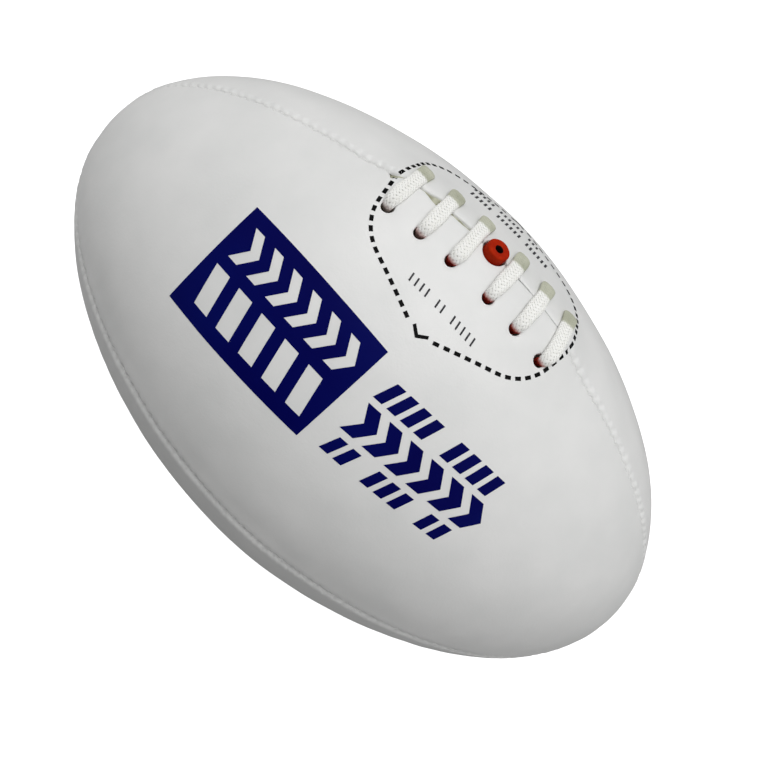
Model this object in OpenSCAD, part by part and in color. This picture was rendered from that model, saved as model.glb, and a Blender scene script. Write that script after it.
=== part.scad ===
/* [Ball] */
// Half the length of the ball, from its middle to one end
half_length = 143; // [136:0.5:150]
// Mean radius of the ball at its middle
mean_radius = 87; // [83:0.5:91]
// Power of the long profile: 2 is an ellipse, less gives more pointed ends
profile_power = 1.86; // [1.7:0.01:2.1]
// How much further out the seams stand than a round section, as a share of the radius
squareness = 0.022; // [0:0.002:0.04]
// Angle of the front seam round from the laced seam; hand-cut panels are not all equal
front_seam_t = 87.5; // [86:0.5:94]

/* [Casing] */
// Thickness of the outer skin of a panel
skin_t = 1.8; // [1.2:0.1:2.4]
// Thickness of the laminated lining behind a panel
lining_t = 1.2; // [0.8:0.1:1.6]
// Height of the seam allowance that each lining turns inward
seam_fold = 4; // [2:0.5:6]
// Thickness of the turned-in seam allowance
fold_t = 1.1; // [0.8:0.1:1.4]
// Diameter of the waxed thread in each seam
thread_d = 1; // [0.6:0.1:1.1]

/* [Lacing] */
// Place of the lacing's middle along the ball
lacing_x = -3; // [-6:0.5:6]
// Distance between neighbouring bars of lace
lace_pitch = 13; // [12:0.5:15]
// Distance between the two bars beside the valve
valve_gap = 16.5; // [16:0.5:20]
// Bars of lace on each side of the valve
bars_each_side = 3; // [2:1:3]
// Half the distance between the two rows of lace holes, along the surface
hole_offset = 12.25; // [11:0.25:13.5]
// Shift of both rows of holes towards the front, along the surface
hole_shift = 0.75; // [-1:0.25:1]
// Diameter of the punched lace holes
hole_d = 4.4; // [4:0.1:5]
// Width of the flat lace
lace_w = 6; // [5:0.2:6.6]
// Thickness of the flat lace
lace_t = 1.9; // [1.5:0.1:2.1]
// Width of the slit between the laced panel edges
slit_w = 1.6; // [1:0.1:3]
// Place of the slit and the valve across the ball
slit_y = 0.5; // [-2:0.5:2]
// Height that the laced edges stand up along the slit
ridge_h = 3; // [0:0.1:3.5]

/* [Bladder and valve] */
// Thickness of the bladder's wall
bladder_t = 0.8; // [0.6:0.1:1.2]
// Diameter of the valve stem
stem_d = 8.2; // [7:0.1:9]
// Height that the valve stem stands above the slit
stem_proud = 2.6; // [1:0.1:4]
// Diameter of the needle's guide bore
needle_d = 2.7; // [2:0.1:3]
// Length of the needle's guide bore
needle_len = 7; // [5:0.5:8]

/* [Hidden] */

// The surface is described by u, the angle from the +X end, and t, the angle round the
// long axis from the laced top towards the front. Depth is measured inward from the skin.
side_power = 1.984;
row_step = 7.5;
tip_u = 0.5;
panel_cols = 10;
col_step = 90 / panel_cols;
seams = [0, front_seam_t, 180, 270, 360];
full_rows = concat([tip_u], [for (u = [row_step:row_step:180 - row_step]) u], [180 - tip_u]);
inner_rows = [for (u = [row_step:row_step:180 - row_step]) u];
// The lacing pieces run between these rows, just past both ends of the slit
lacing_rows = [for (u = [67.5:row_step:112.5]) u];
slit_half = valve_gap / 2 + (bars_each_side - 0.55) * lace_pitch;
ridge_half_len = slit_half + 14;
ridge_half_w = 24;
ridge_fade = 22;
slit_fade = 6;
bed_fade = 8;
bed_half_len = 64;

// Depths of the layers, from the outside in
layer_gap = 0.25;
lining_d = skin_t + layer_gap;
lining_end = lining_d + lining_t;
strip_d = lining_end + 0.4;
strip_end = strip_d + lining_t;
run_d = strip_end + 1.3 + lace_t / 2;
tongue_d = run_d + lace_t / 2 + 1.3;
tongue_end = tongue_d + 1.2;
patch_d = tongue_end + 0.3;
patch_end = patch_d + 0.6;
bed_d = patch_end + 0.3;
rest_d = lining_end + 0.3;

// Seams
panel_gap = 0.05;
lining_gap = thread_d / 2 + 0.3;
fold_step = 0.3;
// How quickly the folds gain their height from the ends of the ball
fold_rise = 1.6;
thread_sides = 6;
thread_first_u = 15;
thread_step_u = 3.75;
strip_w = 17;
tongue_w = 7;
bed_w = 21;
// Half widths of the bladder's crease over a seam fold, at its foot and where it ends
crease_w = 2.8;
crease_end_w = 6;

// Valve
stem_r = stem_d / 2;
stem_clear = 0.5;
flange_r = 7;
flange_t = 1.6;
// Drop of the flange under the flat bed of the bladder, whose columns are chords
flange_drop = 2.8;
core_r = 2.4;
core_fit = 0.02;
core_gap = 0.3;
sink = 0.7;
needle_slit = 0.2;
stem_top = mean_radius * (1 + squareness) + ridge_h + stem_proud;
flange_top = (mean_radius - bed_d - bladder_t) * (1 + squareness) + ridge_h - flange_drop;
flange_bottom = flange_top - flange_t;
core_top = stem_top - sink - needle_len;

function degrees(arc, r) = arc / max(r, 1) * 180 / PI;
function bump(v) = abs(v) >= 1 ? 0 : pow(cos(90 * v), 2);
function step(v) = v <= 0 ? 0 : v >= 1 ? 1 : v * v * (3 - 2 * v);

// The laced edges stand up in a low ridge along the slit
function ridge(u, t) = let (arc = mean_radius * PI / 180 * (t > 180 ? t - 360 : t))
    ridge_h * bump(arc / ridge_half_w)
    * step((ridge_half_len - abs(half_length * cos(u) - lacing_x)) / ridge_fade);
function radius(u, t, depth) =
    (mean_radius - depth) * pow(1 - pow(abs(cos(u)), profile_power), 1 / side_power)
    * (1 + squareness * cos(4 * t) * pow(sin(u), 2)) + ridge(u, t);
function spot(u, t, depth) = let (r = radius(u, t, depth))
    [(half_length - depth) * cos(u), -r * sin(t), r * cos(t)];
// A point at x along the ball, an arc round from the top towards the front, and a depth
function on_ball(x, arc, depth) = let (u = acos(x / (half_length - depth)))
    spot(u, degrees(arc, radius(u, 0, 0)), depth);

// The edge between the two top panels: the seam, and the slit that bows to slit_y
function in_lacing(u) = step((slit_half - abs(half_length * cos(u) - lacing_x)) / slit_fade);
function edge(u, side, gap) = let (r = radius(u, 0, 0), open = in_lacing(u))
    side * min(degrees(gap + open * slit_w / 2, r), col_step / 3)
    - open * degrees(slit_y, r);

// Faces of a strip of rings, and its two ends, all as triangles. Columns past split run
// back along the inner side, so their diagonal is swapped to match the outer side's.
function side_faces(rings, n, split) = [for (k = [0:rings - 2], j = [0:n - 1])
    let (a = k * n + j, b = k * n + (j + 1) % n)
    each j < split ? [[a, b, b + n], [a, b + n, a + n]] : [[a, b, a + n], [b, b + n, a + n]]];
function end_faces(base, n) = [for (j = [0:n / 2 - 2])
    let (a = base + j, b = base + n - 1 - j) each [[a, b, b - 1], [a, b - 1, a + 1]]];
function turned(faces) = [for (f = faces) [f[2], f[1], f[0]]];
module skin(rings) {
    n = len(rings[0]);
    polyhedron([for (r = rings) each r],
        concat(side_faces(len(rings), n, n / 2), end_faces(0, n),
            turned(end_faces((len(rings) - 1) * n, n))));
}
// A layered sheet: columns(u) lists [angle, outer depth, inner depth] across each row
module sheet(rows, columns) {
    skin([for (u = rows) let (c = columns(u), n = len(c)) concat(
        [for (i = [0:n - 1]) spot(u, c[i][0], c[i][1])],
        [for (i = [n - 1:-1:0]) spot(u, c[i][0], c[i][2])])]);
}

// Angles across a panel: its two edges, and shared columns between them
function panel_limits(u, q, gap) = let (r = radius(u, 0, 0), g = min(degrees(gap, r), col_step / 3))
    [q == 0 ? edge(u, 1, gap) : seams[q] + g, q == 3 ? 360 + edge(u, -1, gap) : seams[q + 1] - g];
function column(q, j) = seams[q] + (seams[q + 1] - seams[q]) * j / panel_cols;
function between(q) = [for (j = [1:panel_cols - 1]) column(q, j)];
function fold_width(u) = min(degrees(fold_t, radius(u, 0, 0)), col_step / 3) + fold_step;
function panel_columns(u, q) = let (ends = panel_limits(u, q, panel_gap),
    folds = panel_limits(u, q, lining_gap), w = fold_width(u))
    [for (t = concat([ends[0], folds[0] + w], between(q), [folds[1] - w, ends[1]])) [t, 0, skin_t]];
// The turned-in seam allowance fades out towards the ends and along the lacing
function in_bed(u) = step((bed_half_len - abs(half_length * cos(u))) / bed_fade);
function fold_depth(u, top) = lining_end + seam_fold * min(1, fold_rise * sin(u)) * (top ? 1 - in_bed(u) : 1);
function lining_columns(u, q) = let (ends = panel_limits(u, q, lining_gap),
    w = fold_width(u),
    first = fold_depth(u, q == 0), last = fold_depth(u, q == 3))
    concat([[ends[0], lining_d, first], [ends[0] + w - fold_step, lining_d, first],
            [ends[0] + w, lining_d, lining_end]],
        [for (t = between(q)) [t, lining_d, lining_end]],
        [[ends[1] - w, lining_d, lining_end],
            [ends[1] - w + fold_step, lining_d, last], [ends[1], lining_d, last]]);

module at_valve(clear) translate([lacing_x, slit_y, 60]) cylinder(r = stem_r + clear, h = 60, $fn = 48);
function bar_x(i) = lacing_x + (i < bars_each_side ? -1 : 1)
    * (valve_gap / 2 + lace_pitch * (i < bars_each_side ? bars_each_side - 1 - i : i - bars_each_side));
bars = 2 * bars_each_side;
// side is 1 for the front row of holes and -1 for the back row
module lace_holes(side) for (i = [0:bars - 1]) {
    tilt = degrees(side * hole_offset + hole_shift, radius(acos(bar_x(i) / half_length), 0, 0));
    translate([bar_x(i), 0, 0]) rotate([tilt, 0, 0])
        translate([0, 0, 70]) cylinder(d = hole_d, h = 40, $fn = 32);
}

module panel(q) color("gainsboro") difference() {
    sheet(full_rows, function(u) panel_columns(u, q));
    if (q == 0 || q == 3) {
        lace_holes(q == 0 ? 1 : -1);
        at_valve(stem_clear);
    }
}
module lining(q) color("wheat") difference() {
    sheet(inner_rows, function(u) lining_columns(u, q));
    if (q == 0 || q == 3) {
        lace_holes(q == 0 ? 1 : -1);
        at_valve(stem_clear);
    }
}

// The thread lies in the crease between two linings, just under the skins
thread_depth = skin_t + layer_gap + thread_d / 2;
module thread_run(t, first_u, last_u) {
    steps = round((last_u - first_u) / thread_step_u);
    skin([for (k = [0:steps]) let (u = first_u + (last_u - first_u) * k / steps)
        [for (j = [0:thread_sides - 1]) let (a = 360 / thread_sides * (j + 0.5), r = thread_d / 2)
            spot(u, t + degrees(r * cos(a), radius(u, t, 0)), thread_depth + r * sin(a))]]);
}
slit_first_u = acos((lacing_x + slit_half + 6) / half_length);
slit_last_u = acos((lacing_x - slit_half - 6) / half_length);
module seam_thread(t) color("ivory") {
    if (t == 0) {
        thread_run(0, thread_first_u, slit_first_u);
        thread_run(0, slit_last_u, 180 - thread_first_u);
    } else thread_run(t, thread_first_u, 180 - thread_first_u);
}

// Strips that back the two rows of holes, and the tongue under the slit
function strip_columns(u, side) = let (r = radius(u, 0, 0), a = edge(u, side, 0.4),
    b = side * degrees(strip_w, r), m = side > 0 ? column(0, 1) : -col_step)
    [for (t = side > 0 ? [a, m, b] : [b, m, a]) [t, strip_d, strip_end]];
module lace_strip(side) color("linen") difference() {
    sheet(lacing_rows, function(u) strip_columns(u, side));
    lace_holes(side);
    at_valve(stem_clear);
}
function tongue_columns(u) = let (b = degrees(tongue_w, radius(u, 0, 0)))
    [for (t = [-b, 0, b]) [t, tongue_d, tongue_end]];
module tongue() color("burlywood") difference() {
    sheet(lacing_rows, function(u) tongue_columns(u));
    at_valve(stem_clear);
}

// The bladder lies against the linings, creased over the seam folds and flat under the lacing
function crease(u, seam) = let (r = radius(u, 0, 0), bed = seam == 0 ? in_bed(u) : 0)
    [min(degrees(crease_w + bed * (bed_w - crease_w), r), 2 * col_step - 5),
     min(degrees(crease_end_w + bed * (bed_w + 1), r), 2 * col_step - 2),
     fold_depth(u, seam == 0) + 0.4 + bed * (bed_d - lining_end - 0.4)];
function bladder_ring(u, extra) = [for (q = [0:3])
    let (c = crease(u, q), e = crease(u, (q + 1) % 4))
    each concat([spot(u, seams[q], c[2] + extra), spot(u, seams[q] + c[0], c[2] + extra),
            spot(u, seams[q] + c[1], rest_d + extra)],
        [for (j = [2:panel_cols - 2]) spot(u, column(q, j), rest_d + extra)],
        [spot(u, seams[q + 1] - e[1], rest_d + extra),
            spot(u, seams[q + 1] - e[0], e[2] + extra)])];
module bladder_solid(extra) {
    rings = [for (u = inner_rows) bladder_ring(u, extra)];
    n = len(rings[0]);
    last = (len(rings) - 1) * n;
    tip = half_length - rest_d - extra;
    polyhedron(concat([for (r = rings) each r], [[tip, 0, 0], [-tip, 0, 0]]),
        concat(side_faces(len(rings), n, n),
            [for (j = [0:n - 1]) [len(rings) * n, (j + 1) % n, j]],
            [for (j = [0:n - 1]) [len(rings) * n + 1, last + j, last + (j + 1) % n]]));
}
module bladder() color("chocolate") difference() {
    bladder_solid(0);
    bladder_solid(bladder_t);
    at_valve(stem_clear);
}
module valve_patch() color("saddlebrown") difference() {
    sheet([90 - row_step, 90, 90 + row_step],
        function(u) [for (t = [-col_step, 0, col_step]) [t, patch_d, patch_end]]);
    at_valve(stem_clear);
}

module at_stem(z) translate([lacing_x, slit_y, z]) children();
module valve_stem() color("orangered") difference() {
    union() {
        at_stem(flange_bottom) cylinder(r = flange_r, h = flange_t, $fn = 48);
        at_stem(flange_bottom) cylinder(r = stem_r, h = stem_top - flange_bottom - 0.8, $fn = 48);
        at_stem(stem_top - 0.8) cylinder(r1 = stem_r, r2 = stem_r - 0.8, h = 0.8, $fn = 48);
    }
    at_stem(stem_top - sink) cylinder(r1 = needle_d / 2, r2 = needle_d / 2 + sink, h = sink, $fn = 48);
    at_stem(core_top - 0.1) cylinder(d = needle_d, h = needle_len + 0.2, $fn = 48);
    at_stem(flange_top) cylinder(r = core_r, h = core_top - flange_top, $fn = 48);
    at_stem(flange_bottom - 1) cylinder(d = needle_d, h = flange_t + 2, $fn = 48);
}
module valve_core() color("firebrick") difference() {
    at_stem(flange_top + core_fit)
        cylinder(r = core_r - core_fit, h = core_top - flange_top - core_fit - core_gap, $fn = 48);
    translate([lacing_x - needle_slit / 2, slit_y - needle_d / 2, flange_top - 1])
        cube([needle_slit, needle_d, core_top - flange_top + 2]);
}

// The lace is one flat cord. Its route is points of [x, arc, depth, width, thickness]
corner = 1.08;
function bar_route(x) = [for (p = [[1, run_d + 0.2, 4, 2.2], [1, strip_end, 3.4, 3],
        [1, 2, 3.3, 3], [0.97, -1.8, 4.4, 2.2], [0.6, -1.35, lace_w, lace_t],
        [0, -1.35, lace_w, lace_t], [-0.6, -1.35, lace_w, lace_t], [-0.97, -1.8, 4.4, 2.2],
        [-1, 2, 3.3, 3], [-1, strip_end, 3.4, 3], [-1, run_d + 0.2, 4, 2.2]])
    [x, p[0] * hole_offset + hole_shift, p[1], p[2], p[3]]];
function run_between(i) = i == bars_each_side - 1
    ? [[lacing_x - 4, -11], [lacing_x + 8, -8], [lacing_x + 10, 4]]
    : [[bar_x(i) + 4.5, -5], [bar_x(i) + 9, 5]];
lace_route = concat(
    [[bar_x(0) - 9, 7, run_d, lace_w, lace_t]],
    [for (i = [0:bars - 1]) each concat(bar_route(bar_x(i)),
        i < bars - 1 ? [for (p = run_between(i)) [p[0], p[1], run_d, lace_w, lace_t]] : [])],
    [[bar_x(bars - 1) + 9, -7, run_d, lace_w, lace_t]]);
module lace() color("whitesmoke") {
    path = [for (p = lace_route) on_ball(p[0], p[1], p[2])];
    last = len(path) - 1;
    skin([for (i = [0:last])
        let (along = path[min(i + 1, last)] - path[max(i - 1, 0)], f = along / norm(along),
            side = [1, 0, 0] - f[0] * f, w = side / norm(side), up = cross(f, w))
        [for (j = [0:7]) let (a = 22.5 + 45 * j)
            path[i] + (w * lace_route[i][3] * cos(a) - up * lace_route[i][4] * sin(a)) * corner / 2]]);
}

panel(0);  // panel_front_top
panel(1);  // panel_front_bottom
panel(2);  // panel_back_bottom
panel(3);  // panel_back_top
lining(0);  // lining_front_top
lining(1);  // lining_front_bottom
lining(2);  // lining_back_bottom
lining(3);  // lining_back_top
seam_thread(0);  // seam_thread_top
seam_thread(front_seam_t);  // seam_thread_front
seam_thread(180);  // seam_thread_bottom
seam_thread(270);  // seam_thread_back
lace_strip(1);  // lace_strip_front
lace_strip(-1);  // lace_strip_back
tongue();
lace();
bladder();
valve_patch();
valve_stem();
valve_core();
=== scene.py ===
"""Looks of a laced, four-panel rugby ball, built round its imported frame. Lengths are in mm
until a mesh is made. A place on the ball is x along it, an arc round from the laced top
towards the front, and a height above the skin."""

import math

import bpy
import numpy as np
from mathutils import Matrix, Vector, geometry


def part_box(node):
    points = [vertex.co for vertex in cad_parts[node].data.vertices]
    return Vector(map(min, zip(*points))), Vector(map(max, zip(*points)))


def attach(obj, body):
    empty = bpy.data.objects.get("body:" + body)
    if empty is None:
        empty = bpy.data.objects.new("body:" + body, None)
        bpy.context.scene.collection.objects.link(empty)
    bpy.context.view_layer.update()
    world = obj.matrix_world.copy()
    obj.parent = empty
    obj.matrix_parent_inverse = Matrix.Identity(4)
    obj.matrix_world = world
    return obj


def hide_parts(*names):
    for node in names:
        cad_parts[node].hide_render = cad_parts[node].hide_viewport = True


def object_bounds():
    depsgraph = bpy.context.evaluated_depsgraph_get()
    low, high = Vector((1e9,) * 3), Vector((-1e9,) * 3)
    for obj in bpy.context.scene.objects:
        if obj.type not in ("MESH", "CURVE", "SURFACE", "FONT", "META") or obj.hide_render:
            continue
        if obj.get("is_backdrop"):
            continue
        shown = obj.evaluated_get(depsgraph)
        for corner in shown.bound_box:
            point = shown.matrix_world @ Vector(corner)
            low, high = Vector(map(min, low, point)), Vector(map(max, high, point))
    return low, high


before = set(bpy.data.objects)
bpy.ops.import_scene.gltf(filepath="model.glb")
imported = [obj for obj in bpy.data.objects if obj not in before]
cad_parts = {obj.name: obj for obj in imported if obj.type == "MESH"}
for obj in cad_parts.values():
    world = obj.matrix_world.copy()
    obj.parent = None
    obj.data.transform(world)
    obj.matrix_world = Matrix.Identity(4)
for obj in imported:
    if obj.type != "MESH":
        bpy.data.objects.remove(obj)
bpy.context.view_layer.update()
MM = 0.001

# ---------------------------------------------------------------- the ball's form, as in the frame
PROFILE_POWER = 1.86
SIDE_POWER = 1.984
SQUARENESS = 0.022
RIDGE_H, RIDGE_W = 3.0, 24.0
half_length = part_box("panel_front_bottom")[1].x / MM
mean_radius = -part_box("panel_front_bottom")[0].z / MM / (1 + SQUARENESS)
SEAMS = (0.0, 87.5, 180.0, 270.0, 360.0)
SKIN = 1.8
LACE_PITCH, VALVE_GAP = 13.0, 16.5
LACING_X = sum(corner.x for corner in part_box("valve_stem")) / 2 / MM
SLIT_Y = sum(corner.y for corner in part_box("valve_stem")) / 2 / MM
BAR_X = tuple(LACING_X + side * (VALVE_GAP / 2 + LACE_PITCH * k)
              for side, k in ((-1, 2), (-1, 1), (-1, 0), (1, 0), (1, 1), (1, 2)))
SLIT_HALF = VALVE_GAP / 2 + 2.45 * LACE_PITCH
EYELET_X, GAPE_X, SECOND_GAPE_X = -43.6, -26.8, -17.5
FRONT_HOLES, BACK_HOLES, HOLE_R = 13.0, 11.5, 2.2
STEM_CLEAR_R = 4.6
STITCH = 3.8


def smooth(v):
    v = np.clip(v, 0, 1)
    return v * v * (3 - 2 * v)


def hill(v):
    return np.where(np.abs(v) < 1, np.cos(np.pi / 2 * np.clip(v, -1, 1)) ** 2, 0.0)


def ridge(x, t):
    arc = mean_radius * np.radians(np.where(t > 180, t - 360, t))
    reach = SLIT_HALF + 14 - np.abs(x - LACING_X)
    return RIDGE_H * hill(arc / RIDGE_W) * smooth(reach / 22)


def radius(x, t):
    share = np.clip(np.abs(x) / half_length, 0, 1)
    round_part = mean_radius * (1 - share**PROFILE_POWER) ** (1 / SIDE_POWER)
    square = 1 + SQUARENESS * np.cos(4 * np.radians(t)) * (1 - share**2)
    return round_part * square + ridge(x, t)


def place(x, t, height):
    """Points at x, at t degrees round from the top to the front, at a height over the skin."""
    share = np.clip(np.abs(x) / half_length, 0, 1)
    shrink = 1 + height / mean_radius
    r = (radius(x, t) - ridge(x, t)) * shrink + ridge(x, t)
    out_x = x * (1 + share**2 * height / half_length)
    a = np.radians(t)
    return np.stack([out_x, -r * np.sin(a), r * np.cos(a)], axis=-1)


def top_radius(x):
    return radius(x, np.zeros_like(x))


def arc_to_t(x, arc):
    """The angle of an arc round from the top, at the ball's radius there."""
    return np.degrees(arc / np.maximum(top_radius(x), 1.0))


# Distance along a seam from the middle of the ball, for stitches that keep their pitch
_u = np.radians(np.linspace(0.2, 179.8, 4000))
_path = place(half_length * np.cos(_u), np.full_like(_u, 45.0), np.zeros_like(_u))
_s = np.concatenate([[0], np.cumsum(np.linalg.norm(np.diff(_path, axis=0), axis=1))])
_s -= _s[-1] / 2
SEAM_X, SEAM_S = half_length * np.cos(_u[::-1]), _s


def along(x):
    return np.interp(x, SEAM_X, SEAM_S)


# ---------------------------------------------------------------- relief of the skin
def waves(x, y, z, seed, length, count=9):
    """Soft, seeded unevenness between about -1 and 1."""
    rng = np.random.default_rng(seed)
    total = np.zeros_like(x)
    for _ in range(count):
        d = rng.normal(size=3)
        d *= 2 * np.pi / (length * rng.uniform(0.7, 1.4) * np.linalg.norm(d))
        total += np.cos(d[0] * x + d[1] * y + d[2] * z + rng.uniform(0, 2 * np.pi))
    return total / math.sqrt(count)


def in_lacing(x):
    return smooth((SLIT_HALF - np.abs(x - LACING_X)) / 4)


def tightness(x):
    """How firmly the slit's edges are drawn together past the valve."""
    return smooth((x - 4) / 12)


def slit_half_width(x):
    """The slit gapes beside the second bar and almost closes past the valve."""
    gape = 1.45 * hill((x - GAPE_X) / 6.5) + 0.35 * hill((x - SECOND_GAPE_X) / 7)
    return 0.30 - 0.2 * tightness(x) + gape


def lip(x, side):
    """Arc from the laced seam's line to a panel's edge: the slit, its eyelet, and the valve's notch."""
    off = -side * SLIT_Y
    slit = 0.06 + in_lacing(x) * (slit_half_width(x) + off)
    if side > 0:
        slit += 2.4 * hill((x - EYELET_X) / 2.1)
    notch = off + np.sqrt(np.maximum(STEM_CLEAR_R**2 - (x - LACING_X) ** 2, 0))
    return np.where(np.abs(x - LACING_X) < STEM_CLEAR_R, np.maximum(slit, notch), slit)


def roll(e, width, depth):
    return -depth * (1 - np.sqrt(1 - np.clip(1 - e / width, 0, 1) ** 2))


def stitched_edge(s, e, room, seed, bulge):
    """Relief beside a seam sewn from the inside, e from its edge and s along it."""
    width = np.minimum(2.3, 0.3 * room)
    phase = s / STITCH + 0.12 * np.sin(s / 7.0 + seed)
    pull = hill((phase - np.round(phase)) / 0.34)
    between = 1 - pull
    shape = roll(e, width * (1 + 0.25 * pull), 1.55 * np.minimum(1, room / 12))
    dimple = -0.42 * pull * np.exp(-(((e - 0.7) / 1.0) ** 2))
    bead = 0.14 * between * np.exp(-(((e - 2.0) / 1.1) ** 2))
    puckers = 0.07 * np.sin(2 * np.pi * s / (1.5 * STITCH) + 2 * np.sin(s / 19 + seed)) * np.exp(-e / 5)
    crown = bulge * np.exp(-(((e - 3.6) / 2.6) ** 2))
    return shape + (dimple + bead + puckers + crown) * np.minimum(1, room / 14)


def relief(q, x, t):
    """Height of panel q's outer face over the ball's form."""
    r = radius(x, t)
    room = r * np.radians(SEAMS[q + 1] - SEAMS[q])
    s = along(x)
    first = r * np.radians(t - SEAMS[q])
    last = r * np.radians(SEAMS[q + 1] - t)
    p = place(x, t, np.zeros_like(x))
    h = 0.16 * waves(p[..., 0], p[..., 1], p[..., 2], 5, 55)
    h += 0.05 * waves(p[..., 0], p[..., 1], p[..., 2], 8, 17)
    for e, seam, side in ((first, q, 1), (last, (q + 1) % 4, -1)):
        bulge = 0.3 if seam == 1 else 0.12
        if seam == 0:
            open_ = in_lacing(x)
            e = e - lip(x, side)
            sewn = stitched_edge(s, e, room, 3.0, bulge)
            cut = roll(e, 0.9, 0.55) * (1 - 0.6 * tightness(x)) + 0.12 * hill((e - 2) / 2.5)
            h += sewn * (1 - open_) + cut * open_
        else:
            h += stitched_edge(s, e - 0.06, room, 3.0 + seam, bulge)
        # Long soft wrinkles that run in from the front seam
        if seam == 1:
            crease = np.sin(2 * np.pi * s / 9.0 + 3 * waves(s, e, 0 * s, 21, 40))
            where = smooth(waves(s, e * 0.4, 0 * s, 33, 60) * 0.8 + 0.15)
            h += 0.1 * crease * where * np.exp(-(((e - 14) / 12) ** 2))
    if q in (0, 3):
        arc = first if q == 0 else last
        hole_arc = FRONT_HOLES if q == 0 else BACK_HOLES
        for bx in BAR_X:
            far = np.hypot(x - bx, arc - hole_arc)
            h += roll(far - HOLE_R, 0.8, 0.5) - 0.22 * np.exp(-(((far - HOLE_R) / 2.2) ** 2))
    return h


# ---------------------------------------------------------------- mesh helpers
def make(name, points, faces, materials, body="ball", smooth_angle=None):
    """A mesh piece from points in mm, riding on a body."""
    mesh = bpy.data.meshes.new(name)
    mesh.from_pydata((np.asarray(points) * MM).tolist(), [], [list(f) for f in faces])
    mesh.update()
    mesh.shade_smooth()
    if smooth_angle:
        mesh.set_sharp_from_angle(angle=math.radians(smooth_angle))
    for m in materials:
        mesh.materials.append(m)
    piece = bpy.data.objects.new(name, mesh)
    bpy.context.scene.collection.objects.link(piece)
    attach(piece, body)
    return piece


def closed_shell(outer, inner, faces):
    """Points and faces of a shell: outer faces, inner faces turned over, and walls."""
    n = len(outer)
    faces = np.asarray(faces)
    k = faces.shape[1]
    edges = np.concatenate([np.stack([faces[:, i], faces[:, (i + 1) % k]], 1) for i in range(k)])
    keys = edges[:, 0].astype(np.int64) * n + edges[:, 1]
    back = edges[:, 1].astype(np.int64) * n + edges[:, 0]
    rim = edges[~np.isin(keys, back)]
    walls = np.stack([rim[:, 1], rim[:, 0], rim[:, 0] + n, rim[:, 1] + n], 1)
    all_faces = faces.tolist() + (faces[:, ::-1] + n).tolist() + walls.tolist()
    used = np.unique(np.concatenate([faces.ravel(), faces.ravel() + n]))
    renumber = np.zeros(2 * n, int)
    renumber[used] = np.arange(len(used))
    points = np.concatenate([outer, inner])[used]
    return points, [[int(renumber[i]) for i in f] for f in all_faces]


def grid_faces(rows, cols):
    k = np.arange(rows * cols).reshape(rows, cols)
    return np.stack([k[:-1, :-1], k[1:, :-1], k[1:, 1:], k[:-1, 1:]], -1)


# ---------------------------------------------------------------- materials
def node_material(name, color, roughness):
    m = bpy.data.materials.new(name)
    m.use_nodes = True
    nodes, links = m.node_tree.nodes, m.node_tree.links
    shader = nodes["Principled BSDF"]
    shader.inputs["Base Color"].default_value = (*color, 1)
    shader.inputs["Roughness"].default_value = roughness
    place_node = nodes.new("ShaderNodeTexCoord")
    return m, nodes, links, shader, place_node.outputs["Object"]


def noise_node(nodes, links, where, scale, detail=3.0, rough=0.5):
    n = nodes.new("ShaderNodeTexNoise")
    n.inputs["Scale"].default_value = scale
    n.inputs["Detail"].default_value = detail
    n.inputs["Roughness"].default_value = rough
    links.new(where, n.inputs["Vector"])
    return n.outputs["Fac"]


def ramp(nodes, links, value, stops):
    r = nodes.new("ShaderNodeValToRGB")
    while len(r.color_ramp.elements) < len(stops):
        r.color_ramp.elements.new(0.5)
    for e, (pos, color) in zip(r.color_ramp.elements, stops):
        e.position = pos
        e.color = (*color, 1)
    links.new(value, r.inputs["Fac"])
    return r.outputs["Color"]


def map_value(nodes, links, value, low, high):
    m = nodes.new("ShaderNodeMapRange")
    m.inputs["To Min"].default_value = low
    m.inputs["To Max"].default_value = high
    links.new(value, m.inputs["Value"])
    return m.outputs["Result"]


def bump(nodes, links, height, strength, distance, normal=None):
    b = nodes.new("ShaderNodeBump")
    b.inputs["Strength"].default_value = strength
    b.inputs["Distance"].default_value = distance
    links.new(height, b.inputs["Height"])
    if normal:
        links.new(normal, b.inputs["Normal"])
    return b.outputs["Normal"]


def leather_material():
    """Smooth white coated leather: faint blotches, fine pores and soft sheen."""
    m, nodes, links, shader, where = node_material("white_leather", (0.8, 0.8, 0.79), 0.45)
    blotch = noise_node(nodes, links, where, 45, 4)
    tone = ramp(nodes, links, blotch, ((0.3, (0.76, 0.765, 0.755)), (0.7, (0.82, 0.82, 0.81))))
    links.new(tone, shader.inputs["Base Color"])
    wear = noise_node(nodes, links, where, 160, 5, 0.6)
    links.new(map_value(nodes, links, wear, 0.36, 0.58), shader.inputs["Roughness"])
    pores = nodes.new("ShaderNodeTexVoronoi")
    pores.feature = "SMOOTH_F1"
    pores.inputs["Scale"].default_value = 1500
    links.new(where, pores.inputs["Vector"])
    grain = bump(nodes, links, pores.outputs["Distance"], 0.12, 0.0002)
    fold = noise_node(nodes, links, where, 320, 6, 0.65)
    links.new(bump(nodes, links, fold, 0.10, 0.0006, grain), shader.inputs["Normal"])
    return m


def ink_material(name, deep, light):
    """Screen-printed ink with slight unevenness and a satin face."""
    m, nodes, links, shader, where = node_material(name, deep, 0.5)
    shader.inputs["Specular IOR Level"].default_value = 0.04
    cloud = noise_node(nodes, links, where, 30, 3)
    links.new(ramp(nodes, links, cloud, ((0.35, deep), (0.75, light))), shader.inputs["Base Color"])
    speck = noise_node(nodes, links, where, 900, 4, 0.7)
    links.new(map_value(nodes, links, speck, 0.45, 0.65), shader.inputs["Roughness"])
    links.new(bump(nodes, links, speck, 0.12, 0.0002), shader.inputs["Normal"])
    return m


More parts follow.
